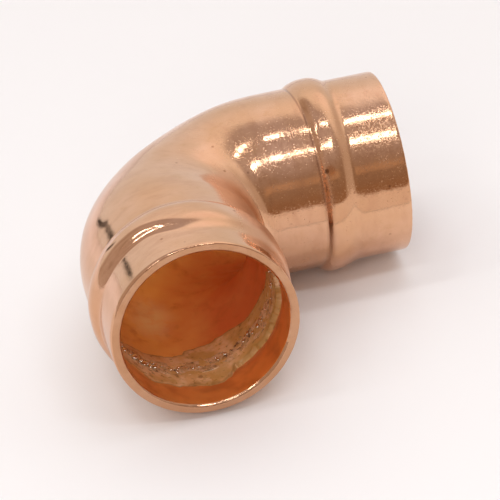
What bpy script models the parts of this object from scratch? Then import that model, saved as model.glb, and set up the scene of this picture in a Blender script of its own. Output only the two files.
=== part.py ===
"""Copper pipe elbow for two 22 mm tubes at a right angle, with a ring of solder in each socket.

The two socket axes lie in one level plane. The front socket opens towards -Y and the side socket
towards +X. The origin is below the middle of the object, level with the lowest points of its
beads. All sizes are in metres.
"""

from math import atan2, cos, pi, radians, sin

import bmesh
import bpy
from mathutils import Vector

# Driving dimensions
TUBE_RADIUS = 0.0110  # outer radius of the tube that slides into a socket
BORE_CLEARANCE = 0.00005  # on the radius
WALL = 0.00125
CENTRE_TO_FACE = 0.0334  # from the crossing of the axes to each socket's face
BEND_RADIUS = 0.0154  # of the centreline
BEND_TUBE_RADIUS = 0.0110  # outer radius in the middle of the bend
RIM_CHAMFER = 0.00015

# The bead that holds the solder, as distances from the socket's face
BEAD_START = 0.0062
BEAD_CREST = 0.00945
BEAD_END = 0.0126
BEAD_HEIGHT = 0.00085
BEAD_FULLNESS = 1.1  # 1 is a plain cosine hump, and more is slimmer

# The narrowing from socket to bend, which also stops the tube
TAPER_START = 0.0158
TAPER_LENGTH = 0.0134

# The solder ring
RING_GAP = 0.0002  # to the groove's wall
RING_RECESS = 0.0001  # behind the bore, so that the tube passes

# How finely round shapes are divided
SIDES = 40
BEAD_STEPS = 8
TAPER_STEPS = 9
RIM_ANGLE = radians(60)
SLOPE_STEP = 0.00001

BORE_RADIUS = TUBE_RADIUS + BORE_CLEARANCE
SOCKET_RADIUS = BORE_RADIUS + WALL
BEAD_RADIUS = SOCKET_RADIUS + BEAD_HEIGHT
STRAIGHT_LENGTH = CENTRE_TO_FACE - BEND_RADIUS
BEND_LENGTH = BEND_RADIUS * pi / 2
PATH_LENGTH = 2 * STRAIGHT_LENGTH + BEND_LENGTH
MIDDLE_OFFSET = (CENTRE_TO_FACE - BEAD_RADIUS) / 2
AXES_CROSSING = Vector((-MIDDLE_OFFSET, MIDDLE_OFFSET, BEAD_RADIUS))

COPPER = (0.83, 0.52, 0.37)
SOLDER = (0.60, 0.55, 0.47)


def clear_scene():
    for obj in list(bpy.data.objects):
        bpy.data.objects.remove(obj, do_unlink=True)


def new_collection(name):
    collection = bpy.data.collections.new(name)
    bpy.context.scene.collection.children.link(collection)
    return collection


def metal(name, colour, roughness):
    material = bpy.data.materials.new(name)
    material.use_nodes = True
    shader = material.node_tree.nodes["Principled BSDF"]
    shader.inputs["Base Color"].default_value = (*colour, 1.0)
    shader.inputs["Roughness"].default_value = roughness
    shader.inputs["Metallic"].default_value = 1.0
    return material


def spaced(first, last, steps):
    return [first + (last - first) * i / steps for i in range(steps + 1)]


def bead_height(distance):
    """How far the bead stands up at this distance from the socket's face."""
    half = BEAD_CREST - BEAD_START if distance < BEAD_CREST else BEAD_END - BEAD_CREST
    share = abs(distance - BEAD_CREST) / half
    return BEAD_HEIGHT * cos(share * pi / 2) ** BEAD_FULLNESS if share < 1 else 0.0


def taper_depth(distance):
    """How far the wall has drawn in towards the bend's radius."""
    share = min(max((distance - TAPER_START) / TAPER_LENGTH, 0.0), 1.0)
    return (SOCKET_RADIUS - BEND_TUBE_RADIUS) * (1 - cos(share * pi)) / 2


def outer_radius(distance):
    return SOCKET_RADIUS + bead_height(distance) - taper_depth(distance)


def centreline(travel):
    """The point this far along the centreline, from the front socket's face to the side socket's."""
    angle = min(max((travel - STRAIGHT_LENGTH) / BEND_RADIUS, 0.0), pi / 2)
    before = min(travel, STRAIGHT_LENGTH)
    after = max(travel - STRAIGHT_LENGTH - BEND_LENGTH, 0.0)
    x = BEND_RADIUS * (1 - cos(angle)) + after
    y = -CENTRE_TO_FACE + before + BEND_RADIUS * sin(angle)
    return AXES_CROSSING + Vector((x, y, 0.0))


def stations():
    """Where the body's cross-sections are, as travel along the centreline."""
    half = [0.0, *spaced(BEAD_START, BEAD_END, BEAD_STEPS)]
    half += spaced(TAPER_START, PATH_LENGTH / 2, TAPER_STEPS)
    return half + [PATH_LENGTH - travel for travel in reversed(half[:-1])]


def body_curve():
    """The outer skin of the elbow, as a curve whose thickness follows outer_radius()."""
    curve = bpy.data.curves.new("elbow_path", "CURVE")
    curve.dimensions = "3D"
    curve.twist_mode = "Z_UP"
    curve.bevel_depth = SOCKET_RADIUS
    curve.bevel_resolution = (SIDES - 4) // 2
    travels = stations()
    spline = curve.splines.new("POLY")
    spline.points.add(len(travels) - 1)
    for point, travel in zip(spline.points, travels):
        distance = min(travel, PATH_LENGTH - travel)
        point.co = (*centreline(travel), 1.0)
        point.radius = outer_radius(distance) / SOCKET_RADIUS
    return bpy.data.objects.new("elbow_path", curve)


def add_body(collection, material):
    """The one-piece copper body: the skin is given its wall, then made a mesh with eased rims."""
    path = body_curve()
    collection.objects.link(path)
    wall = path.modifiers.new("wall", "SOLIDIFY")
    wall.thickness = WALL
    wall.offset = -1.0
    wall.use_even_offset = True
    graph = bpy.context.evaluated_depsgraph_get()
    mesh = bpy.data.meshes.new_from_object(path.evaluated_get(graph), depsgraph=graph)
    bpy.data.objects.remove(path)
    mesh.name = "elbow_body"
    mesh.shade_smooth()
    mesh.set_sharp_from_angle(angle=RIM_ANGLE)
    mesh.materials.clear()
    mesh.materials.append(material)
    body = bpy.data.objects.new("elbow_body", mesh)
    collection.objects.link(body)
    chamfer = body.modifiers.new("rim_chamfer", "BEVEL")
    chamfer.width = RIM_CHAMFER
    chamfer.segments = 1
    chamfer.limit_method = "ANGLE"
    chamfer.angle_limit = RIM_ANGLE
    return body


def groove_point(distance, depth):
    """The point at this depth under the bead's skin, as (distance from the face, radius)."""
    rise = bead_height(distance + SLOPE_STEP) - bead_height(distance - SLOPE_STEP)
    slope = atan2(rise, 2 * SLOPE_STEP)
    radius = SOCKET_RADIUS + bead_height(distance)
    return distance + depth * sin(slope), radius - depth * cos(slope)


def ring_profile():
    """The ring's section as (height above the bead's crest towards the face, radius)."""
    inner_radius = BORE_RADIUS + RING_RECESS
    found = []
    for distance in spaced(BEAD_START, BEAD_END, BEAD_STEPS * 2):
        along, radius = groove_point(distance, WALL + RING_GAP)
        if radius > inner_radius + RING_RECESS / 2:
            found.append((BEAD_CREST - along, radius))
    return [*found, (found[-1][0], inner_radius), (found[0][0], inner_radius)]


def ring_mesh(material):
    """The solder ring's section, turned round the local Z axis, which points out of the socket."""
    section = bmesh.new()
    corners = [section.verts.new((radius, 0.0, height)) for height, radius in ring_profile()]
    for i, corner in enumerate(corners):
        section.edges.new((corners[i - 1], corner))
    mesh = bpy.data.meshes.new("solder_ring")
    section.to_mesh(mesh)
    section.free()
    mesh.materials.append(material)
    return mesh


def add_ring(name, mesh, collection, location, rotation):
    """One solder ring, seated in its socket's groove."""
    ring = bpy.data.objects.new(name, mesh)
    ring.location = location
    ring.rotation_euler = rotation
    collection.objects.link(ring)
    turned = ring.modifiers.new("turned", "SCREW")
    turned.angle = 2 * pi
    turned.steps = SIDES
    turned.render_steps = SIDES
    turned.use_merge_vertices = True
    turned.merge_threshold = 0.00001
    turned.use_smooth_shade = True
    return ring


def main():
    clear_scene()
    elbow = new_collection("pipe_elbow")
    add_body(elbow, metal("copper", COPPER, 0.22))
    ring = ring_mesh(metal("solder", SOLDER, 0.35))
    reach = CENTRE_TO_FACE - BEAD_CREST
    front = AXES_CROSSING - Vector((0.0, reach, 0.0))
    side = AXES_CROSSING + Vector((reach, 0.0, 0.0))
    add_ring("solder_ring_front", ring, elbow, front, (pi / 2, 0.0, 0.0))
    add_ring("solder_ring_side", ring, elbow, side, (0.0, pi / 2, 0.0))


main()
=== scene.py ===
"""Copper solder-ring elbow: the detailed visual model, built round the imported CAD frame.

Lengths are in metres. Along the tube, "travel" runs from the front socket's face, round the bend, to
the side socket's face, and "distance" is how far a point is from the nearer of those two faces.
"""

from math import cos, pi, radians, sin

import bmesh
import bpy
import numpy as np
from mathutils import Matrix, Vector, noise


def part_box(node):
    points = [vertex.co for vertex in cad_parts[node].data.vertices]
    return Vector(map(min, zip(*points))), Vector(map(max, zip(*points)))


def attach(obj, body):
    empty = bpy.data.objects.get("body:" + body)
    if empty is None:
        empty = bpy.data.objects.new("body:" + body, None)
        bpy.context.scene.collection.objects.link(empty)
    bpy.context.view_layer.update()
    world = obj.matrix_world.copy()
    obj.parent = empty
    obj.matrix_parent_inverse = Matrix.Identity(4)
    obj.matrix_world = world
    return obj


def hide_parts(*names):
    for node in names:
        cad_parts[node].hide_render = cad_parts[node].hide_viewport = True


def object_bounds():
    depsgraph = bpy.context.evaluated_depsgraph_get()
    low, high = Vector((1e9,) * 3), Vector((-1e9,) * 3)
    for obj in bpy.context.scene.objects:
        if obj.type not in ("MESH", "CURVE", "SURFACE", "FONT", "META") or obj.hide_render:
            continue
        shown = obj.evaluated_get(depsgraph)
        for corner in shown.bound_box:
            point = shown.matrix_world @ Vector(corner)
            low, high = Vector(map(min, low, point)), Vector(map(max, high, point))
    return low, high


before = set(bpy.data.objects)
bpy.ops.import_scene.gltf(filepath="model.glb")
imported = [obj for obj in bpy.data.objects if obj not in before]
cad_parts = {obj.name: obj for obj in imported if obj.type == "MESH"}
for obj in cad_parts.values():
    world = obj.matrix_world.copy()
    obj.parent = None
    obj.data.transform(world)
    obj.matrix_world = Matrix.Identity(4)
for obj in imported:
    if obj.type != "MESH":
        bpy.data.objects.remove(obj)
cad_low, cad_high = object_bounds()

# ---------------------------------------------------------------- sizes
MM = 0.001
body_low, body_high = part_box("elbow_body")
BEAD_RADIUS = (body_high.z - body_low.z) / 2
CENTRE_TO_FACE = body_high.x - body_low.x - BEAD_RADIUS
CROSSING = Vector((body_low.x + BEAD_RADIUS, body_high.y - BEAD_RADIUS, body_low.z + BEAD_RADIUS))
BEAD_HEIGHT = 0.85 * MM
WALL = 1.25 * MM
BEND_RADIUS = 15.4 * MM
BEND_TUBE_RADIUS = 11.0 * MM
TAPER_START, TAPER_LENGTH = 15.8 * MM, 13.4 * MM
SOCKET_RADIUS = BEAD_RADIUS - BEAD_HEIGHT
BORE_RADIUS = SOCKET_RADIUS - WALL
STRAIGHT = CENTRE_TO_FACE - BEND_RADIUS
BEND_LENGTH = BEND_RADIUS * pi / 2
PATH_LENGTH = 2 * STRAIGHT + BEND_LENGTH

SIDES = 240
OUTER_ROUND, INNER_CHAMFER = 0.12 * MM, 0.32 * MM  # at the rim's outer and inner edge
CHAMFER_FLATNESS = 0.8


# ---------------------------------------------------------------- the tube's shape
# Where each socket's bead has its front foot, crest and rear foot, for the front arm and the side arm. The
# bead wanders round the tube, so each is two distances, the angle round the tube at which the second one
# holds, and the cosines of the angle from there at which the change from the first one starts and ends.
BEAD_FOOT = ((4.0 * MM, 6.2 * MM, 3.1, 0.02, 0.50), (6.25 * MM, 6.7 * MM, 0.5, 0, 1))
BEAD_TOP = ((9.7 * MM, 9.0 * MM, 1.9, -1, 1), (9.25 * MM, 10.45 * MM, -0.8, -1, 1))
BEAD_REAR = ((12.3 * MM, 11.9 * MM, 0.2, 0, 1), (12.35 * MM, 11.78 * MM, 0.3, -0.4, 0.8))
# The share of each side's length, from the crest, where it turns from convex to concave: before the crest,
# and behind it for each arm.
FRONT_BREAK = 0.66
REAR_BREAK = (0.72, 0.86)
# How flat each side is near the crest (see arch), and how much flatter it gets over part of the way round.
FRONT_FLATNESS, FRONT_FLATTER = 2.2, 1.3
REAR_FLATNESS, REAR_FLATTER = 2.4, 2.2
# How far the side arm stands out behind its bead, at which angle round the tube, and how far back that
# reaches.
SHOULDER_HEIGHT, SHOULDER_TURN, SHOULDER_REACH = 0.30 * MM, 0.5, 5 * MM
THICKENED_SHARE, THICKENED_POWER = 0.8, 1.5


def smooth(values, low, high):
    """0 below low, 1 above high, and smooth between."""
    share = np.clip((values - low) / (high - low), 0, 1)
    return share * share * (3 - 2 * share)


def round_the_tube(arms, travel, turn):
    """A distance that changes round the tube, as the tables above give it for each arm."""
    values = []
    for first, second, centre, start, full in arms:
        values.append(first + (second - first) * smooth(np.cos(turn - centre), start, full))
    return np.where(travel < PATH_LENGTH / 2, values[0], values[1])


def arch(share, turning, flatness):
    """One side of the bead: 1 at the crest, convex until turning, then concave down to 0 at share 1.

    A flatness of 2 is a parabola, and more is flatter near the crest.
    """
    slope = flatness * turning ** (flatness - 1)
    drop = 1 / (turning**flatness + slope * (1 - turning) / 2)
    convex = 1 - drop * share**flatness
    concave = drop * slope / (2 * (1 - turning)) * (1 - share) ** 2
    return np.where(share < turning, convex, concave) * (share < 1)


def bead_height(travel, turn):
    """How far the bead, or the shoulder behind the side bead, stands above the socket."""
    distance = from_face(travel)
    foot = round_the_tube(BEAD_FOOT, travel, turn)
    top = round_the_tube(BEAD_TOP, travel, turn)
    rear = round_the_tube(BEAD_REAR, travel, turn)
    near_side = (travel > PATH_LENGTH / 2) * np.cos(turn - SHOULDER_TURN).clip(0) ** 2
    steep = (travel < PATH_LENGTH / 2) * (1 - smooth(np.cos(turn - 3.1), 0.20, 0.70))
    front_share = np.clip((top - distance) / (top - foot), 0, 1)
    front_side = arch(front_share, FRONT_BREAK, FRONT_FLATNESS + FRONT_FLATTER * steep)
    rear_share = np.clip((distance - top) / (rear - top), 0, 1)
    rear_break = np.where(travel < PATH_LENGTH / 2, *REAR_BREAK)
    rear_side = arch(rear_share, rear_break, REAR_FLATNESS + REAR_FLATTER * near_side)
    height = BEAD_HEIGHT * np.where(distance < top, front_side, rear_side)
    behind = smooth(distance, top, rear) * (1 - smooth(distance, rear, rear + SHOULDER_REACH))
    return np.maximum(height, SHOULDER_HEIGHT * behind * near_side)


def taper_depth(distance):
    """How far the tube narrows towards the middle of the bend."""
    share = np.clip((distance - TAPER_START) / TAPER_LENGTH, 0, 1)
    return (SOCKET_RADIUS - BEND_TUBE_RADIUS) * (1 - np.cos(share * pi)) / 2


def thickening(distance, turn):
    """How much thicker the wall is on the inside of the bend, where the metal gathers."""
    return THICKENED_SHARE * taper_depth(distance) * np.cos(turn).clip(0) ** THICKENED_POWER


def from_face(travel):
    """The distance from the nearer face."""
    return np.minimum(travel, PATH_LENGTH - travel)


def outer_radius(travel, turn):
    """The skin's radius about the tube's centre line."""
    distance = from_face(travel)
    return SOCKET_RADIUS + bead_height(travel, turn) - taper_depth(distance) + thickening(distance, turn)


def tube_point(travel, turn, radius):
    """Points at these travels, angles round the tube (0 faces the inside of the bend) and radii."""
    angle = np.clip((travel - STRAIGHT) / BEND_RADIUS, 0, pi / 2)
    before = np.minimum(travel, STRAIGHT)
    after = np.maximum(travel - STRAIGHT - BEND_LENGTH, 0)
    x = CROSSING.x + BEND_RADIUS * (1 - np.cos(angle)) + after + radius * np.cos(turn) * np.cos(angle)
    y = CROSSING.y - CENTRE_TO_FACE + before + BEND_RADIUS * np.sin(angle)
    y = y - radius * np.cos(turn) * np.sin(angle)
    z = CROSSING.z + radius * np.sin(turn) + 0 * angle
    return np.stack([x, y, z], -1)


def spread(first, last, steps):
    """Evenly spaced values from first, stopping one step before last."""
    return np.linspace(first, last, steps, endpoint=False)


def rounding(travel, depth, size, first, last, steps, flat=0.0):
    """A quarter round at the rim, as travels and depths below the skin. With flat at 1 it is a chamfer."""
    angles = spread(first, last, steps)
    share = (angles - first) / (last - first)
    along = (1 - flat) * np.cos(angles) + flat * (cos(first) + share * (cos(last) - cos(first)))
    out = (1 - flat) * np.sin(angles) + flat * (sin(first) + share * (sin(last) - sin(first)))
    return travel + size * along, depth - size * out


def there_and_back(half):
    """Travels for the whole path, from those of its first half."""
    return np.concatenate([half, [PATH_LENGTH / 2], PATH_LENGTH - half[::-1]])


def body_section():
    """The wall's outline, as travels and depths below the skin: out along the skin, back along the bore."""
    skin = there_and_back(np.concatenate([
        spread(OUTER_ROUND, 1.6 * MM, 8),
        spread(1.6 * MM, 4.8 * MM, 7),
        spread(4.8 * MM, 13.0 * MM, 60),
        spread(13.0 * MM, PATH_LENGTH / 2, 43),
    ]))
    bore = there_and_back(np.concatenate([
        spread(INNER_CHAMFER, 5.0 * MM, 10),
        spread(5.0 * MM, 13.0 * MM, 22),
        spread(13.0 * MM, PATH_LENGTH / 2, 28),
    ]))[::-1]
    top, under = OUTER_ROUND, WALL - INNER_CHAMFER
    near_top, far_top = OUTER_ROUND, PATH_LENGTH - OUTER_ROUND
    near_under, far_under = INNER_CHAMFER, PATH_LENGTH - INNER_CHAMFER
    parts = [
        (skin[:-1], 0 * skin[:-1]),
        rounding(far_top, top, OUTER_ROUND, pi / 2, 0, 4),
        (np.full(4, PATH_LENGTH), spread(top, under, 4)),
        rounding(far_under, under, INNER_CHAMFER, 0, -pi / 2, 7, CHAMFER_FLATNESS),
        (bore[:-1], WALL + 0 * bore[:-1]),
        rounding(near_under, under, INNER_CHAMFER, -pi / 2, -pi, 7, CHAMFER_FLATNESS),
        (np.full(4, 0.0), spread(under, top, 4)),
        rounding(near_top, top, OUTER_ROUND, pi, pi / 2, 4),
    ]
    return np.concatenate([p[0] for p in parts]), np.concatenate([p[1] for p in parts])


# ---------------------------------------------------------------- mesh helpers
def fractal(points, size, octaves=3, seed=0.0):
    """Smooth noise of about -1 to 1 at each point, with its largest features this many metres across."""
    shift = Vector((seed, 7.3 * seed, -3.1 * seed))
    flat = points.reshape(-1, 3) / size
    values = [noise.fractal(Vector(p) + shift, 1.0, 2.0, octaves) for p in flat]
    return np.array(values).reshape(points.shape[:-1])


def grid_normals(grid):
    """Unit normals of a grid that wraps round both ways."""
    down = np.roll(grid, -1, 0) - np.roll(grid, 1, 0)
    across = np.roll(grid, -1, 1) - np.roll(grid, 1, 1)
    normals = np.cross(down, across)
    return normals / np.maximum(np.linalg.norm(normals, axis=-1, keepdims=True), 1e-12)


def grid_mesh(name, grid, flip=False):
    """A closed mesh from a grid of points that wraps round both ways."""
    rows, columns = grid.shape[:2]
    index = np.arange(rows * columns).reshape(rows, columns)
    right, below = np.roll(index, -1, 1), np.roll(index, -1, 0)
    corner = np.roll(below, -1, 1)
    faces = np.stack([index, right, corner, below] if flip else [index, below, corner, right], -1)
    mesh = bpy.data.meshes.new(name)
    mesh.vertices.add(rows * columns)
    mesh.vertices.foreach_set("co", grid.astype(np.float32).ravel())
    mesh.loops.add(faces.size)
    mesh.loops.foreach_set("vertex_index", faces.astype(np.int32).ravel())
    mesh.polygons.add(rows * columns)
    mesh.polygons.foreach_set("loop_start", np.arange(0, faces.size, 4, dtype=np.int32))
    mesh.update(calc_edges=True)
    mesh.shade_smooth()
    return mesh


def point_attribute(mesh, name, values):
    """Gives each vertex a number, which a material reads by this name."""
    attribute = mesh.attributes.new(name, "FLOAT", "POINT")
    attribute.data.foreach_set("value", values.astype(np.float32).ravel())


def vector_attribute(mesh, name, values):
    """Gives each vertex a vector, which a material reads by this name."""
    attribute = mesh.attributes.new(name, "FLOAT_VECTOR", "POINT")
    attribute.data.foreach_set("vector", values.astype(np.float32).ravel())


def add_piece(name, mesh, replaced=()):
    """Shows the mesh as a piece that rides on the one body, in place of these CAD nodes."""
    piece = bpy.data.objects.new(name, mesh)
    bpy.context.scene.collection.objects.link(piece)
    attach(piece, "root")
    if replaced:
        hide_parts(*replaced)


# ---------------------------------------------------------------- material helpers
class Tree:
    """Adds nodes to one node tree, with short names for what is used often."""

    def __init__(self, tree):
        self.tree = tree

    def new(self, kind):
        return self.tree.nodes.new(kind)

    def link(self, source, target):
        self.tree.links.new(source, target)

    def feed(self, value, socket):
        """Links an output to a socket, or puts a plain value on it."""
        if hasattr(value, "is_output"):
            self.link(value, socket)
        else:
            socket.default_value = value

    def axes(self, vector):
        """A vector's three parts."""
        node = self.new("ShaderNodeSeparateXYZ")
        self.link(vector, node.inputs[0])
        return node.outputs

    def compare(self, operation, vector, fixed):
        """The DISTANCE between a vector and a fixed one, or their DOT_PRODUCT."""
        node = self.new("ShaderNodeVectorMath")
        node.operation = operation
        self.link(vector, node.inputs[0])
        node.inputs[1].default_value = fixed
        return node.outputs["Value"]

    def ramp(self, value, low, high, first=0.0, last=1.0):
        """Runs smoothly from first to last as value goes from low to high."""
        node = self.new("ShaderNodeMapRange")
        node.interpolation_type = "SMOOTHSTEP"
        node.inputs["From Min"].default_value = low
        node.inputs["From Max"].default_value = high
        node.inputs["To Min"].default_value = first
        node.inputs["To Max"].default_value = last
        self.link(value, node.inputs["Value"])
        return node.outputs["Result"]

    def math(self, operation, first, second=0.0):
        node = self.new("ShaderNodeMath")
        node.operation = operation
        self.feed(first, node.inputs[0])
        self.feed(second, node.inputs[1])
        return node.outputs[0]

    def blend(self, share, first, second):
        """Goes from the first colour to the second as share goes from 0 to 1."""
        node = self.new("ShaderNodeMix")
        node.data_type = "RGBA"
        self.feed(share, node.inputs[0])
        self.feed(first if hasattr(first, "is_output") else (*first, 1.0), node.inputs[6])
        self.feed(second if hasattr(second, "is_output") else (*second, 1.0), node.inputs[7])
        return node.outputs[2]

    def tint(self, colour, share, amount, other):
        """The colour, with this amount of another mixed in where share is 1."""
        return self.blend(self.math("MULTIPLY", share, amount), colour, other)


class Surface(Tree):
    """One material, built round its own shader."""

    def __init__(self, name):
        self.material = bpy.data.materials.new(name)
        self.material.use_nodes = True
        super().__init__(self.material.node_tree)
        self.shader = self.tree.nodes["Principled BSDF"]
        self.place = self.new("ShaderNodeTexCoord").outputs["Object"]

    def attribute(self, name, output="Fac"):
        node = self.new("ShaderNodeAttribute")
        node.attribute_name = name
        return node.outputs[output]

    def scaled(self, vector, scale):
        """The vector, or the point on the object where it is None, times this scale."""
        node = self.new("ShaderNodeMapping")
        node.inputs["Scale"].default_value = scale
        self.link(vector or self.place, node.inputs["Vector"])
        return node.outputs["Vector"]

    def noise(self, size, detail=3.0, rough=0.55, vector=None, stretch=(1, 1, 1), distortion=0.0):
        """Noise whose largest features are about this many metres across."""
        node = self.new("ShaderNodeTexNoise")
        node.inputs["Scale"].default_value = 1.0
        node.inputs["Detail"].default_value = detail
        node.inputs["Roughness"].default_value = rough
        node.inputs["Distortion"].default_value = distortion
        self.link(self.scaled(vector, [s / size for s in stretch]), node.inputs["Vector"])
        return node.outputs["Fac"]

    def cells(self, size):
        """Distance to the nearest of scattered points about this many metres apart."""
        node = self.new("ShaderNodeTexVoronoi")
        node.inputs["Scale"].default_value = 1.0
        self.link(self.scaled(None, [1 / size] * 3), node.inputs["Vector"])
        return node.outputs["Distance"]

    def near(self, vector, centre, radius, core=0.4):
        """1 about a point of the vector's space, out to a share of the radius, and 0 beyond the radius."""
        return self.ramp(self.compare("DISTANCE", vector, centre), radius, core * radius)

    def bump(self, height, depth, normal=None):
        """Bumps of about this depth in metres, on top of those that normal already has."""
        node = self.new("ShaderNodeBump")
        node.inputs["Strength"].default_value = 1.0
        node.inputs["Distance"].default_value = depth
        self.link(height, node.inputs["Height"])
        if normal is not None:
            self.link(normal, node.inputs["Normal"])
        return node.outputs["Normal"]

    def finish(self, colour, roughness, normal, metallic=1.0):
        self.feed(colour, self.shader.inputs["Base Color"])
        self.feed(roughness, self.shader.inputs["Roughness"])
        self.feed(metallic, self.shader.inputs["Metallic"])
        self.feed(normal, self.shader.inputs["Normal"])
        return self.material


# ---------------------------------------------------------------- materials
COPPER_TAN, COPPER_PINK = (0.740, 0.425, 0.245), (0.785, 0.470, 0.300)
FINE_FILM, TAN_FILM, DRAWN_FILM = (0.64, 0.340, 0.185), (0.60, 0.320, 0.140), (0.60, 0.310, 0.180)
SPOT, CREASE = (0.36, 0.150, 0.070), (0.24, 0.085, 0.040)
RUST, BURNT_RUST = (0.42, 0.150, 0.042), (0.17, 0.060, 0.022)
SCORCH, SCORCH_HALO = (0.05, 0.035, 0.030), (0.55, 0.200, 0.060)
RIM_BROWN, RIM_PINK = (0.62, 0.345, 0.195), (0.66, 0.385, 0.235)
BORE_GOLD, BORE_RED, BORE_CLOUD = (1.0, 0.610, 0.210), (0.83, 0.262, 0.090), (0.60, 0.210, 0.045)
# The third colour on the next line is a painted highlight: a pale patch deep in the front socket.
BORE_MOUTH, BORE_BLOTCH, BORE_PAINTED_HIGHLIGHT = (0.82, 0.260, 0.048), (0.46, 0.120, 0.024), (1.0, 0.770, 0.460)
DULL_SOLDER, BROWN_SOLDER = (0.78, 0.56, 0.34), (0.58, 0.35, 0.16)
WHITE_SOLDER, GREY_SOLDER, SOLDER_PIT = (0.92, 0.90, 0.85), (0.72, 0.64, 0.50), (0.12, 0.060, 0.030)
FLUX_PALE, FLUX_TAN, FLUX_OLIVE = (0.86, 0.570, 0.320), (0.76, 0.440, 0.190), (0.54, 0.290, 0.065)
FLUX_STAIN, FLUX_EDGE = (0.30, 0.130, 0.040), (0.34, 0.160, 0.035)

# Places on the tube, as (travel, length round the tube, radius): a scorched spot on the side bead's crest,
# with a brown halo beside it, and a pale patch of painted highlight deep in the front socket.
SCORCH_PLACE = (PATH_LENGTH - 10.9 * MM, 0.52 * SOCKET_RADIUS, BEAD_RADIUS)
SCORCH_SIZE, HALO_SIZE, HALO_SHIFT = 0.42 * MM, 0.9 * MM, 0.5 * MM
# The place and size of the painted highlight in the front socket.
PAINTED_HIGHLIGHT_PLACE, PAINTED_HIGHLIGHT_SIZE = (STRAIGHT + 3 * MM, (2 * pi - 1.94) * SOCKET_RADIUS, BORE_RADIUS), 5.0 * MM


def skin_colour(n, tube, rust):
    """Pink to tan mottling, streaks, scattered spots, and tarnish, rust and a scorch where they lie."""
    colour = n.blend(n.ramp(n.noise(11 * MM, 3), 0.38, 0.62), COPPER_TAN, COPPER_PINK)
    colour = n.tint(colour, n.ramp(n.noise(1.3 * MM, 4, 0.6), 0.42, 0.72), 0.18, FINE_FILM)
    colour = n.tint(colour, n.ramp(n.noise(2.2 * MM, 3, 0.6), 0.58, 0.74), 0.28, TAN_FILM)
    streaks = n.noise(1.5 * MM, 4, 0.6, tube, (1, 0.3, 1))
    colour = n.tint(colour, n.ramp(streaks, 0.45, 0.70), 0.30, DRAWN_FILM)
    rare = n.ramp(n.noise(6 * MM, 2), 0.54, 0.62)
    spots = n.math("MULTIPLY", n.ramp(n.cells(1.9 * MM), 0.13, 0.06), rare)
    colour = n.tint(colour, spots, 0.7, SPOT)
    burnt = n.ramp(n.noise(0.35 * MM, 3, 0.6), 0.50, 0.62)
    colour = n.tint(colour, rust, 0.95, n.blend(burnt, RUST, BURNT_RUST))
    colour = n.tint(colour, n.attribute("crease"), 0.75, CREASE)
    colour = n.blend(n.near(tube, SCORCH_PLACE, SCORCH_SIZE), colour, SCORCH)
    halo = (SCORCH_PLACE[0] + HALO_SHIFT, *SCORCH_PLACE[1:])
    return n.tint(colour, n.near(tube, halo, HALO_SIZE), 0.5, SCORCH_HALO)


def copper_skin():
    """Bright drawn copper, with fine pits, draw lines and scratches where it was handled."""
    n = Surface("copper_skin")
    tube = n.attribute("tube_place", "Vector")
    patchy = n.ramp(n.noise(0.7 * MM, 4, 0.6), 0.32, 0.55, 0.30, 1.0)
    rust = n.math("MULTIPLY", n.attribute("rust"), patchy)
    handled = n.attribute("handled")
    grainy = n.ramp(n.noise(1.8 * MM, 3, 0.6), 0.46, 0.66)
    pits = n.math("MULTIPLY", n.ramp(n.cells(0.42 * MM), 0.36, 0.12), n.ramp(grainy, 0.0, 1.0, 0.35, 1.0))
    pits = n.math("MULTIPLY", pits, handled)
    grain = n.math("MULTIPLY", n.noise(0.36 * MM, 2, 0.5), n.ramp(grainy, 0.0, 1.0, 0.5, 1.0))
    grain = n.math("MULTIPLY", grain, handled)
    drawn = n.noise(0.12 * MM, 2, 0.5, tube, (0.06, 1, 1))
    scratches = n.ramp(n.noise(0.22 * MM, 1, 0.5, tube, (0.05, 1, 1)), 0.74, 0.82)
    scuff = n.math("MULTIPLY", n.noise(1.6 * MM, 2, 0.5), n.attribute("wavy"))
    rough = n.math("MULTIPLY", n.ramp(n.noise(0.30 * MM, 3, 0.6), 0.38, 0.66, 0.0, 0.17), handled)
    rough = n.math("ADD", rough, n.math("MULTIPLY", pits, 0.45))
    rough = n.math("MINIMUM", rough, 0.30)
    rough = n.math("ADD", rough, n.ramp(n.attribute("gathered"), 0.0, 1.0, 0.09, 0.36))
    rough = n.math("ADD", rough, n.math("MULTIPLY", rust, 0.35))
    metal = n.math("SUBTRACT", 1.0, n.math("MULTIPLY", rust, 0.6))
    normal = n.bump(scuff, 0.020 * MM)
    normal = n.bump(drawn, 0.0010 * MM, normal)
    normal = n.bump(grain, 0.0030 * MM, normal)
    normal = n.bump(pits, -0.010 * MM, normal)
    normal = n.bump(scratches, -0.005 * MM, normal)
    return n.finish(skin_colour(n, tube, rust), rough, normal, metal)


def copper_rim():
    """The cut edge of the tube: duller, with fine marks of the cutter round it."""
    n = Surface("copper_rim")
    tube = n.attribute("tube_place", "Vector")
    colour = n.blend(n.ramp(n.noise(4 * MM, 3), 0.38, 0.62), RIM_BROWN, RIM_PINK)
    marks = n.noise(0.10 * MM, 2, 0.5, tube, (1, 0.04, 1))
    rough = n.ramp(n.noise(0.9 * MM, 2, 0.5), 0.42, 0.58, 0.08, 0.26)
    normal = n.bump(n.noise(0.7 * MM, 2, 0.5), 0.028 * MM)
    normal = n.bump(marks, 0.0006 * MM, normal)
    return n.finish(colour, rough, normal)


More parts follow.
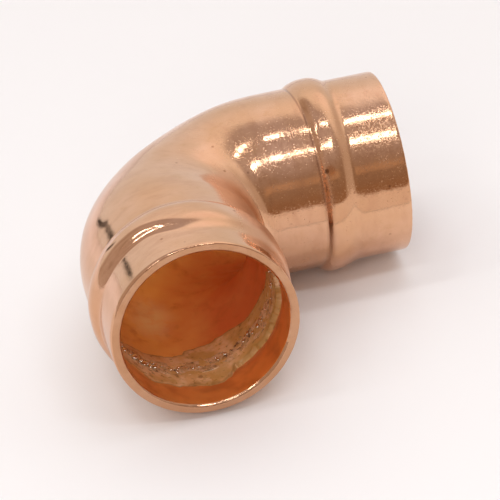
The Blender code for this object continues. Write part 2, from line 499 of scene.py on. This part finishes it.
def copper_bore():
    """The oxidised inside: golden orange on the outside of the bend and red-brown on the inside, with a
    painted highlight deep in the front socket.
    """
    n = Surface("copper_bore")
    tube = n.attribute("tube_place", "Vector")
    red = n.ramp(n.math("ADD", n.attribute("inside"), n.noise(6 * MM, 3, 0.5)), 0.62, 1.35)
    colour = n.blend(red, BORE_GOLD, BORE_RED)
    cloud = n.ramp(n.noise(2.6 * MM, 5, 0.6, distortion=0.3), 0.48, 0.72)
    colour = n.tint(colour, cloud, 0.45, BORE_CLOUD)
    mouth = n.attribute("mouth")
    colour = n.tint(colour, mouth, 0.7, BORE_MOUTH)
    blotches = n.math("MULTIPLY", n.ramp(n.noise(3.2 * MM, 2, 0.5), 0.40, 0.66), mouth)
    colour = n.tint(colour, blotches, 0.50, BORE_BLOTCH)
    # Painted highlight: a pale patch deep in the front socket, broken up by noise.
    wear_and_highlight_patches = n.ramp(n.noise(2.0 * MM, 3, 0.6), 0.35, 0.60, 0.55, 1.0)
    painted_highlight = n.math("MULTIPLY", n.near(tube, PAINTED_HIGHLIGHT_PLACE, PAINTED_HIGHLIGHT_SIZE, 0.1), wear_and_highlight_patches)
    colour = n.blend(painted_highlight, colour, BORE_PAINTED_HIGHLIGHT)
    rough = n.ramp(n.noise(1.6 * MM, 2, 0.5), 0.3, 0.7, 0.30, 0.42)
    normal = n.bump(n.noise(2.6 * MM, 2, 0.45), 0.030 * MM)
    return n.finish(colour, rough, normal, 0.55)


def solder_metal(name, silver, brown, pitted, rough_range, metallic):
    """Cast solder: silver, lumpy, browned by the flux, with dark pits."""
    n = Surface(name)
    colour = n.blend(n.ramp(n.noise(0.9 * MM, 4, 0.6), 0.35, 0.65), silver, brown)
    pits = n.ramp(n.noise(0.8 * MM, 3, 0.55), 0.56, 0.64)
    colour = n.tint(colour, pits, pitted, SOLDER_PIT)
    rough = n.ramp(n.noise(0.5 * MM, 3), 0.3, 0.7, *rough_range)
    normal = n.bump(n.noise(0.6 * MM, 2, 0.5), 0.04 * MM)
    return n.finish(colour, rough, normal, metallic)


def flux_residue():
    """Dried flux: tan, patchy, a little glossy, more olive inside the bend and browner at its edge."""
    n = Surface("flux_residue")
    colour = n.blend(n.ramp(n.noise(1.5 * MM, 4, 0.6), 0.35, 0.65), FLUX_PALE, FLUX_TAN)
    side = n.math("MULTIPLY", n.attribute("inside"), 0.30)
    olive = n.ramp(n.math("ADD", n.noise(4 * MM, 3, 0.6), side), 0.56, 0.74)
    colour = n.tint(colour, olive, 0.7, FLUX_OLIVE)
    colour = n.tint(colour, n.ramp(n.noise(1.0 * MM, 3, 0.55), 0.58, 0.70), 0.75, FLUX_STAIN)
    colour = n.tint(colour, n.attribute("edge"), 0.75, FLUX_EDGE)
    rough = n.ramp(n.noise(0.8 * MM, 3), 0.3, 0.7, 0.26, 0.5)
    normal = n.bump(n.noise(0.9 * MM, 2, 0.5), 0.035 * MM)
    return n.finish(colour, rough, normal, 0.15)


def paper(name, colour, second=None, share=None):
    """Paper with a faint tone, and a second colour where share, a function of the surface, is 1."""
    n = Surface(name)
    if share is None:
        mixed = n.blend(n.ramp(n.noise(0.3, 2), 0.3, 0.7), [c * 0.985 for c in colour], colour)
    else:
        mixed = n.blend(share(n), colour, second)
    return n.finish(mixed, 0.7, n.bump(n.noise(4 * MM, 3), 0.02 * MM), 0.0)


def far_left(n):
    """1 far back on the left of the table."""
    x, y, _ = n.axes(n.place)
    return n.math("MULTIPLY", n.ramp(y, 0.030, 0.100), n.ramp(x, 0.0, -0.040))


SOLDER = solder_metal("solder_metal", DULL_SOLDER, BROWN_SOLDER, 0.85, (0.22, 0.45), 0.35)
BRIGHT_SOLDER = solder_metal("bright_solder", WHITE_SOLDER, GREY_SOLDER, 0.2, (0.06, 0.16), 1.0)
FLUX = flux_residue()


# ---------------------------------------------------------------- pieces
# How deep the wear is at each rim's outer edge, and at the front rim's inner edge, and how far back the
# wear reaches.
FRONT_WEAR, SIDE_WEAR, INNER_WEAR, WEAR_REACH = 0.14 * MM, 0.05 * MM, 0.18 * MM, 0.6 * MM
# How deep the crease behind each bead is: the front one, the side one, and how much deeper the side one is
# on top.
FRONT_CREASE, SIDE_CREASE, UPPER_CREASE = 0.002 * MM, 0.008 * MM, 0.022 * MM
# Dents: how many, the seed of their places, their smallest and largest size, and their depth.
DENTS = ((30, 5, (0.5 * MM, 1.4 * MM), 0.022 * MM), (160, 6, (0.22 * MM, 0.45 * MM), 0.014 * MM))
SKIN, BORE, RIM = 0, 1, 2  # the body's materials


def bell(offset, width):
    """1 where the offset is 0, falling to 0 on both sides."""
    return np.exp(-((offset / width) ** 2))


def dents(points, count, seed, sizes, depth):
    """How far each point is pushed in by round dents at scattered points of the surface."""
    rng = np.random.default_rng(seed)
    flat = points.reshape(-1, 3)
    pushed = np.zeros(len(flat))
    for _ in range(count):
        centre = flat[rng.integers(len(flat))]
        size = rng.uniform(*sizes)
        away = np.linalg.norm(flat - centre, axis=1) / size
        pushed += rng.uniform(0.4, 1.0) * depth * np.exp(-2.5 * away**2)
    return pushed.reshape(points.shape[:-1])


def body_radius(travel, turn, near_skin):
    """The wall's radius, with rims rounded by wear, from the bore where near_skin is 0 to the skin where it
    is 1.
    """
    distance = from_face(travel)
    front_arm = travel < PATH_LENGTH / 2
    radius = outer_radius(travel, turn) - (1 - near_skin) * (WALL + thickening(distance, turn))
    wear_and_highlight_patches = 1 - smooth(distance, 0, WEAR_REACH)
    outer_wear = np.where(front_arm, FRONT_WEAR * (0.65 - 0.35 * np.cos(turn - 0.3)), SIDE_WEAR)
    radius -= wear_and_highlight_patches**2 * near_skin * outer_wear
    return radius - wear_and_highlight_patches * (1 - near_skin) * front_arm * INNER_WEAR * (-np.cos(turn)).clip(0)


def body_faults(grid, travel, turn, near_skin):
    """How far each point stands out or in: waves in the metal, creases behind the beads, and dents."""
    distance = from_face(travel)
    skin = near_skin * np.clip(distance / (0.8 * MM), 0, 1)
    rim = 1 - smooth(distance, 0, 0.4 * MM)
    bead = skin * bead_height(travel, turn) / BEAD_HEIGHT
    push = 0
    for share, height, size, seed in (
        (skin, 0.040 * MM, 9 * MM, 1.0),
        (1, 0.008 * MM, 2.6 * MM, 2.0),
        (rim, 0.024 * MM, 0.8 * MM, 9.0),
        (bead, 0.035 * MM, 4 * MM, 3.0),
    ):
        push = push + share * height * fractal(grid, size, 2, seed)
    crease = bell(distance - round_the_tube(BEAD_REAR, travel, turn), 0.15 * MM)
    uneven = 0.6 + 0.4 * np.clip(1.6 * fractal(grid, 6 * MM, 2, 4.0), -1, 1)
    depth = np.where(travel < PATH_LENGTH / 2, FRONT_CREASE, SIDE_CREASE + UPPER_CREASE * on_top(turn))
    push -= skin * crease * uneven * depth
    for dent in DENTS:
        push -= skin * dents(grid, *dent)
    return push


def on_top(turn):
    """1 on the tube's upper side."""
    return smooth(np.sin(turn), -0.1, 0.4)


def mark_body(mesh, travel, turn, radius, near_skin):
    """Tells the body's materials where on the tube each vertex is, and where each kind of mark lies."""
    distance = from_face(travel)
    front_arm = travel < PATH_LENGTH / 2
    side_share = smooth(travel, 0.42 * PATH_LENGTH, 0.58 * PATH_LENGTH)
    behind_bead = distance - round_the_tube(BEAD_REAR, travel, turn)
    tarnish = np.maximum(0.35 * np.cos(turn).clip(0) ** 2, ~front_arm * (0.15 + 0.65 * on_top(turn)))
    rust = bell(behind_bead + 0.42 * MM, 0.50 * MM) * bell(turn - 0.32, 0.24) * ~front_arm
    near_mouth = 1 - smooth(distance, 4 * MM, 7 * MM)
    upward = side_share * bell(turn - 0.85, 0.45)
    behind_rim = front_arm * smooth(distance, 1 * MM, 3 * MM)
    marks = {
        "crease": near_skin * bell(behind_bead, 0.13 * MM) * tarnish,
        "rust": near_skin * rust,
        "inside": 0.5 + 0.5 * np.cos(turn),
        "mouth": 1 - smooth(distance, 3 * MM, 7 * MM),
        "handled": 0.3 + 0.2 * side_share + (0.25 + 0.5 * near_mouth) * upward,
        "wavy": 0.3 + 0.9 * side_share,
        "gathered": behind_rim * smooth(np.cos(turn), 0.35, 0.75),
    }
    for name, values in marks.items():
        point_attribute(mesh, name, values)
    vector_attribute(mesh, "tube_place", np.stack([travel, turn * SOCKET_RADIUS, radius], -1))


def make_body():
    """The copper body: rims rounded by wear, beads with their creases, and the small faults of forming."""
    travel, depth = body_section()
    turn = np.arange(SIDES) * 2 * pi / SIDES
    travel, turn = np.meshgrid(travel, turn, indexing="ij")
    depth = depth[:, None] + 0 * turn
    near_skin = 1 - depth / WALL
    radius = body_radius(travel, turn, near_skin)
    grid = tube_point(travel, turn, radius)
    grid = grid + grid_normals(grid) * body_faults(grid, travel, turn, near_skin)[..., None]
    mesh = grid_mesh("copper_body", grid)
    for material in (copper_skin(), copper_bore(), copper_rim()):
        mesh.materials.append(material)
    edge = (depth > 0.5 * OUTER_ROUND) & (from_face(travel) < INNER_CHAMFER)
    kind = np.where(edge, RIM, np.where(near_skin < 0.3, BORE, SKIN))
    mesh.polygons.foreach_set("material_index", kind.astype(np.int32).ravel())
    mark_body(mesh, travel, turn, radius, near_skin)
    add_piece("copper_body", mesh, ["elbow_body"])


# The solder ring and the dried flux round it, in each socket: the distances they run from and to, the rows
# and columns of their grids, and their seeds.
RING_SPAN, RING_GRID, RING_SEED = (7.5 * MM, 11.0 * MM), (30, 300), 11.0
FLUX_SPAN, FLUX_GRID, FLUX_SEED = (3.4 * MM, 15.0 * MM), (72, 460), 21.0
# How wide the bands' tapering edges are, and how far beyond the bead's height their backs lie.
LINING_EDGE, LINING_BACK = 0.25 * MM, 0.12 * MM
FLUX_LOWEST, FLUX_HIGHEST = -0.10, 0.11  # in millimetres above the bore
SOCKETS = (("front", 0), ("side", 1))
SPECKS, SPECK_SEED = 130, 31


def in_socket(socket, distance):
    """The travel at this distance from the socket's face."""
    return distance if socket == 0 else PATH_LENGTH - distance


def band(socket, span, rows, columns):
    """The distances, angles and bore points of a band inside a socket."""
    turn = np.arange(columns) * 2 * pi / columns
    distance, turn = np.meshgrid(np.linspace(*span, rows), turn, indexing="ij")
    return distance, turn, tube_point(in_socket(socket, distance), turn, BORE_RADIUS + 0 * turn)


def lining(socket, span, size, seed, height):
    """A closed band inside a socket: its face stands height above the bore, and its back is in the wall."""
    distance, turn, points = band(socket, span, *size)
    travel = in_socket(socket, distance)
    back = BORE_RADIUS + bead_height(travel, turn) + LINING_BACK
    face = BORE_RADIUS - height(travel, turn, points, seed)
    start, end = span
    within = smooth(distance, start, start + LINING_EDGE) * (1 - smooth(distance, end - LINING_EDGE, end))
    face = face + (1 - within) * (back - face) * 0.98
    return np.concatenate([tube_point(travel, turn, face), tube_point(travel, turn, back)[::-1]])


def ring_middle(turn):
    """The distance at which the ring's specks and the flux film's hollow lie."""
    return 9.1 * MM + 0.7 * MM * np.cos(turn + 0.5)


def ring_height(travel, turn, points, seed):
    """How far the ring stands above the bore."""
    lumps = fractal(points, 1.3 * MM, 3, seed)
    fine = fractal(points, 0.45 * MM, 2, seed + 1)
    return 0.05 * MM + 0.16 * MM * lumps + 0.05 * MM * fine


def flux_inside(distance, turn, points, seed):
    """How far inside the flux film's uneven front and rear edges each point is."""
    high = 0.5 + 0.5 * np.sin(turn)
    step = smooth(np.cos(turn), 0.30, 0.42)
    front = 5.1 * MM + 1.0 * MM * high + 2.0 * MM * step + 1.1 * MM * fractal(points, 3.0 * MM, 4, seed)
    bulge = (0.5 + 0.5 * np.cos(turn + 1.1)) ** 5
    rear = 12.0 * MM + 2.1 * MM * bulge - 0.5 * MM * high
    rear = rear + 1.0 * MM * fractal(points, 3.0 * MM, 4, seed + 3)
    return np.minimum(distance - front, rear - distance)


def flux_height(travel, turn, points, seed):
    """How far the flux film stands above the bore. Outside its edges it is sunk below the bore's skin."""
    distance = from_face(travel)
    inside = flux_inside(distance, turn, points, seed)
    body = np.clip(inside / (0.5 * MM), -1, 1)
    patches = fractal(points, 2.4 * MM, 3, seed + 5)
    hollow = bell(distance - ring_middle(turn), 1.0 * MM) * (0.6 + fractal(points, 1.6 * MM, 2, seed + 7))
    level = 0.055 * body + 0.03 * patches - 0.06 * hollow
    sunk = bead_height(travel, turn) * smooth(-inside, 0, 0.3 * MM)
    return MM * np.clip(level, FLUX_LOWEST, FLUX_HIGHEST) - sunk


def make_ring(name, socket):
    """The solder ring's face, and its back in the wall."""
    grid = lining(socket, RING_SPAN, RING_GRID, RING_SEED + socket, ring_height)
    mesh = grid_mesh(f"solder_lining_{name}", grid, flip=socket == 0)
    mesh.materials.append(SOLDER)
    add_piece(f"solder_lining_{name}", mesh, [f"solder_ring_{name}"])


def make_flux(name, socket):
    """The film of dried flux. Its colour follows the side of the tube and how near the edge is."""
    seed = FLUX_SEED + socket
    grid = lining(socket, FLUX_SPAN, FLUX_GRID, seed, flux_height)
    mesh = grid_mesh(f"flux_film_{name}", grid, flip=socket == 0)
    distance, turn, points = band(socket, FLUX_SPAN, *FLUX_GRID)
    edge = bell(flux_inside(distance, turn, points, seed), 0.30 * MM)
    point_attribute(mesh, "inside", np.tile(0.5 + 0.5 * np.cos(turn), (2, 1)))
    point_attribute(mesh, "edge", np.concatenate([edge, edge[::-1]]))
    mesh.materials.append(FLUX)
    add_piece(f"flux_film_{name}", mesh)


def add_speck(made, rng, socket):
    """Adds one flattened bead of solder to the mesh being made, somewhere on the socket's ring."""
    turn = rng.uniform(0, 2 * pi)
    distance = ring_middle(turn) + rng.normal(0.3 * sin(5 * turn), 0.40) * MM
    size = rng.uniform(0.09, 0.20) * MM * (1.7 if rng.random() < 0.2 else 1)
    where = tube_point(in_socket(socket, distance), turn, BORE_RADIUS - 0.12 * MM)
    stretch = Matrix.Diagonal((rng.uniform(0.8, 2.0), rng.uniform(0.8, 1.6), rng.uniform(0.7, 1.1), 1))
    spin = Matrix.Rotation(rng.uniform(0, pi), 4, "Z")
    place = Matrix.Translation(Vector(where)) @ spin @ stretch
    bmesh.ops.create_icosphere(made, subdivisions=2, radius=size, matrix=place)


def make_specks(name, socket):
    """Beads of bright solder on the ring, as one mesh."""
    rng = np.random.default_rng(SPECK_SEED + socket)
    made = bmesh.new()
    for _ in range(SPECKS):
        add_speck(made, rng, socket)
    for vertex in made.verts:
        vertex.co += vertex.normal * 0.02 * MM * noise.noise(vertex.co / (0.12 * MM))
    mesh = bpy.data.meshes.new(f"solder_specks_{name}")
    made.to_mesh(mesh)
    made.free()
    mesh.shade_smooth()
    mesh.materials.append(BRIGHT_SOLDER)
    add_piece(f"solder_specks_{name}", mesh)


# ---------------------------------------------------------------- staging
CAMERA_AZIMUTH, CAMERA_ELEVATION, CAMERA_ROLL = radians(-11.01), radians(29.64), radians(-6.49)
CAMERA_FIELD = radians(8.094)
CAMERA_BACK, CAMERA_RIGHT, CAMERA_UP = 38.89, 1.124, -0.440  # in mouth radii from the axes' crossing
MOUTH_RADIUS = 12.2 * MM
SENSOR_WIDTH = 36.0

# Sheets that only the copper mirrors lie just above the floor, which the camera sees.
FLOOR_LEVEL = cad_low.z - 0.02 * MM
TABLE_LEVEL, MAT_LEVEL = FLOOR_LEVEL + 0.01 * MM, FLOOR_LEVEL + 0.015 * MM
FAR = 3.0
TABLE_FRONT, MAT_FRONT, MAT_EDGE = -105 * MM, -23 * MM, 1 * MM
FLOOR_WHITE, TABLE_WARM, TABLE_PALE = (0.93, 0.93, 0.925), (0.82, 0.775, 0.745), (0.97, 0.96, 0.99)
MAT_PALE, MAT_EDGE_GREY, BACKDROP_EDGE = (0.92,) * 3, (0.36,) * 3, (0.03, 0.025, 0.02)
MIRRORED_ONLY = {"camera": False, "diffuse": False, "shadow": False, "transmission": False}

# Ceiling lamps, in rows: the row's angle above the horizon in front, and the X of the directions in which
# each lamp starts and ends.
LAMP_ROWS = (
    (62, ((-0.55, -0.45), (-0.24, -0.06), (0.01, 0.040), (0.110, 0.16), (0.20, 0.38))),
    (90, ((-0.64, -0.58), (-0.52, -0.46), (-0.34, -0.20), (0.110, 0.14), (0.18, 0.25), (0.31, 0.38))),
)
LAMP_GLARE, LAMP_DEPTH, LAMP_REACH, LAMP_COLOUR = 14.0, 0.055, 0.8, (0.94, 0.96, 1.0)
# Soft lights that nothing mirrors: direction, distance, size and power.
SOFT_LIGHTS = {
    "fill": ((-0.3, 0.4, 1.0), 1.2, 1.2, 2.0),
    "front_fill": ((-0.30, -0.85, 0.50), 1.0, 0.5, 2.8),
}

# What the copper mirrors all round: a dim warm room on the camera's side, and a pale backdrop.
ROOM_LOW, ROOM_MIDDLE, ROOM_HIGH = (0.33, 0.200, 0.120), (0.36, 0.265, 0.205), (0.54, 0.485, 0.50)
ROOM_LEFT, ROOM_CLOUD, ROOM_SHELF = (0.55, 0.465, 0.42), (0.26, 0.170, 0.120), (0.60, 0.42, 0.29)
BACKDROP_LOW, BACKDROP_HIGH, BACKDROP_GLOW = (0.84, 0.83, 0.82), (1.02, 0.98, 0.97), (1.20, 1.12, 1.14)
BACKDROP_FRONT, BACKDROP_SIDE = (0.58, 0.49, 0.43), (0.62, 0.53, 0.48)
BACKDROP_FACING, GLOW_DIRECTION = (0.64, 0.64, -0.42), (0.43, 0.54, 0.72)
SEEN_BACKGROUND = (0.92, 0.92, 0.915)


def add_camera():
    """The camera, placed as fitted to the photo: its directions, then its place from the axes' crossing."""
    back = Vector((
        sin(CAMERA_AZIMUTH) * cos(CAMERA_ELEVATION),
        -cos(CAMERA_AZIMUTH) * cos(CAMERA_ELEVATION),
        sin(CAMERA_ELEVATION),
    ))
    level = Vector((0, 0, 1)).cross(back).normalized()
    upright = back.cross(level)
    right = level * cos(CAMERA_ROLL) + upright * sin(CAMERA_ROLL)
    up = upright * cos(CAMERA_ROLL) - level * sin(CAMERA_ROLL)
    camera = bpy.data.objects.new("camera", bpy.data.cameras.new("camera"))
    bpy.context.scene.collection.objects.link(camera)
    place = CROSSING + MOUTH_RADIUS * (right * CAMERA_RIGHT + up * CAMERA_UP + back * CAMERA_BACK)
    camera.matrix_world = Matrix.Translation(place) @ Matrix((right, up, back)).transposed().to_4x4()
    camera.data.sensor_width = SENSOR_WIDTH
    camera.data.lens = SENSOR_WIDTH / 2 / np.tan(CAMERA_FIELD / 2)
    camera.data.clip_start, camera.data.clip_end = 0.01, 20.0
    bpy.context.scene.camera = camera


def add_sheet(name, corners, material, **seen):
    """A flat sheet of the set. Each keyword says whether that kind of ray sees it."""
    mesh = bpy.data.meshes.new(name)
    mesh.from_pydata(corners, [], [tuple(range(len(corners)))])
    mesh.materials.append(material)
    sheet = bpy.data.objects.new(name, mesh)
    bpy.context.scene.collection.objects.link(sheet)
    for kind, value in seen.items():
        setattr(sheet, f"visible_{kind}", value)


def rectangle(left, near, far, height):
    """A level rectangle's corners, reaching far to the right."""
    return [(left, near, height), (FAR, near, height), (FAR, far, height), (left, far, height)]


def add_floor():
    """The floor that the camera sees, and what the copper mirrors: a table, and a mat with a dark edge."""
    floor = rectangle(-FAR, -FAR, FAR, FLOOR_LEVEL)
    add_sheet("floor", floor, paper("floor_paper", FLOOR_WHITE), glossy=False)
    table = paper("table_paper", TABLE_WARM, TABLE_PALE, far_left)
    add_sheet("table", rectangle(-FAR, TABLE_FRONT, FAR, TABLE_LEVEL), table, **MIRRORED_ONLY)
    mat_start = MAT_FRONT + MAT_EDGE
    mat_edge = rectangle(0, MAT_FRONT, mat_start, MAT_LEVEL)
    add_sheet("mat_edge", mat_edge, paper("mat_edge_paper", MAT_EDGE_GREY), **MIRRORED_ONLY)
    add_sheet("mat", rectangle(0, mat_start, FAR, MAT_LEVEL), paper("mat_paper", MAT_PALE), **MIRRORED_ONLY)


def add_backdrop_edge():
    """A thin dark bent edge of the backdrop, behind and to the left, that only the copper mirrors."""
    low, high, width, reach = Vector((-0.41, 0.91, 0.00)), Vector((-0.51, 0.84, 0.23)), 0.062, 0.6
    middle = (low + high) / 2 + Vector((-0.025, 0, 0))
    across = Vector((0.88, 0.45, 0)) * width / 2
    line = [low, middle, high]
    corners = [reach * (p + across) for p in line] + [reach * (p - across) for p in reversed(line)]
    add_sheet("backdrop_edge", corners, paper("dark_paper", BACKDROP_EDGE), **MIRRORED_ONLY)


def add_lamp(name, direction, reach, sizes, power, colour=(1, 1, 1), mirrored=True):
    """A rectangular soft light in this direction from the object, facing it."""
    light = bpy.data.lights.new(name, "AREA")
    light.shape = "RECTANGLE"
    light.energy = power
    light.size, light.size_y = sizes
    light.color = colour
    lamp = bpy.data.objects.new(name, light)
    away = Vector(direction).normalized()
    level = (Vector((1, 0, 0)) - away.x * away).normalized()
    turned = Matrix((level, away.cross(level), away)).transposed().to_4x4()
    lamp.matrix_world = Matrix.Translation(away * reach) @ turned
    lamp.visible_glossy = mirrored
    lamp.visible_camera = False
    bpy.context.scene.collection.objects.link(lamp)


def add_lamps():
    """The ceiling lamps, which the copper mirrors, and the soft lights, which it doesn't."""
    for row, (rise, columns) in enumerate(LAMP_ROWS):
        for column, (start, end) in enumerate(columns):
            up, side = radians(rise), (start + end) / 2
            flat = (1 - side**2) ** 0.5
            direction = (side, -cos(up) * flat, sin(up) * flat)
            width = (end - start) * LAMP_REACH
            power = LAMP_GLARE * pi * width * LAMP_DEPTH
            place = (direction, LAMP_REACH, (width, LAMP_DEPTH))
            add_lamp(f"lamp_{row}_{column}", *place, power, LAMP_COLOUR)
    for name, (direction, reach, size, power) in SOFT_LIGHTS.items():
        add_lamp(name, direction, reach, (size, size), power, mirrored=False)


def room(n, direction):
    """The room's colour: darker and warmer low down, paler on the left, with a shelf across its middle."""
    side, depth, height = n.axes(direction)
    colour = n.blend(n.ramp(height, -0.1, 0.35), ROOM_LOW, ROOM_MIDDLE)
    colour = n.blend(n.ramp(height, 0.35, 0.90), colour, ROOM_HIGH)
    colour = n.blend(n.ramp(side, -0.10, -0.75), colour, ROOM_LEFT)
    clouds = n.new("ShaderNodeTexNoise")
    clouds.inputs["Scale"].default_value = 6.0
    n.link(direction, clouds.inputs["Vector"])
    colour = n.blend(n.ramp(clouds.outputs["Fac"], 0.50, 0.75, 0, 0.5), colour, ROOM_CLOUD)
    rise = n.math("ARCTAN2", height, n.math("MULTIPLY", depth, -1.0))
    shelf = n.math("MULTIPLY", n.ramp(rise, 0.30, 0.36), n.ramp(rise, 0.50, 0.44))
    across = n.math("MULTIPLY", n.ramp(side, -0.10, 0.10), n.ramp(side, 0.60, 0.30))
    return n.tint(colour, n.math("MULTIPLY", shelf, across), 0.8, ROOM_SHELF)


def backdrop(n, direction):
    """The backdrop's colour: paler high up, darker to the front and far right, with a glow behind."""
    side, depth, height = n.axes(direction)
    colour = n.blend(n.ramp(height, 0.30, 0.80), BACKDROP_LOW, BACKDROP_HIGH)
    colour = n.blend(n.ramp(depth, 0.0, -0.35), colour, BACKDROP_FRONT)
    colour = n.blend(n.ramp(side, 0.60, 0.90, 0, 0.75), colour, BACKDROP_SIDE)
    glow = n.ramp(n.compare("DOT_PRODUCT", direction, GLOW_DIRECTION), 0.93, 1.0, 0, 0.9)
    return n.blend(glow, colour, BACKDROP_GLOW)


def add_world():
    """The surroundings that the copper mirrors, and the plain pale background that the camera sees."""
    world = bpy.data.worlds.new("studio")
    world.use_nodes = True
    bpy.context.scene.world = world
    n = Tree(world.node_tree)
    direction = n.new("ShaderNodeTexCoord").outputs["Generated"]
    behind = n.ramp(n.compare("DOT_PRODUCT", direction, BACKDROP_FACING), -0.12, 0.06)
    mirrored = n.blend(behind, room(n, direction), backdrop(n, direction))
    camera_ray = n.new("ShaderNodeLightPath").outputs["Is Camera Ray"]
    seen = n.blend(camera_ray, mirrored, SEEN_BACKGROUND)
    n.link(seen, world.node_tree.nodes["Background"].inputs["Color"])
    bpy.context.scene.view_settings.view_transform = "Standard"


make_body()
for socket_name, socket_number in SOCKETS:
    make_ring(socket_name, socket_number)
    make_flux(socket_name, socket_number)
for socket_name, socket_number in SOCKETS:
    make_specks(socket_name, socket_number)
add_camera()
add_floor()
add_backdrop_edge()
add_lamps()
add_world()
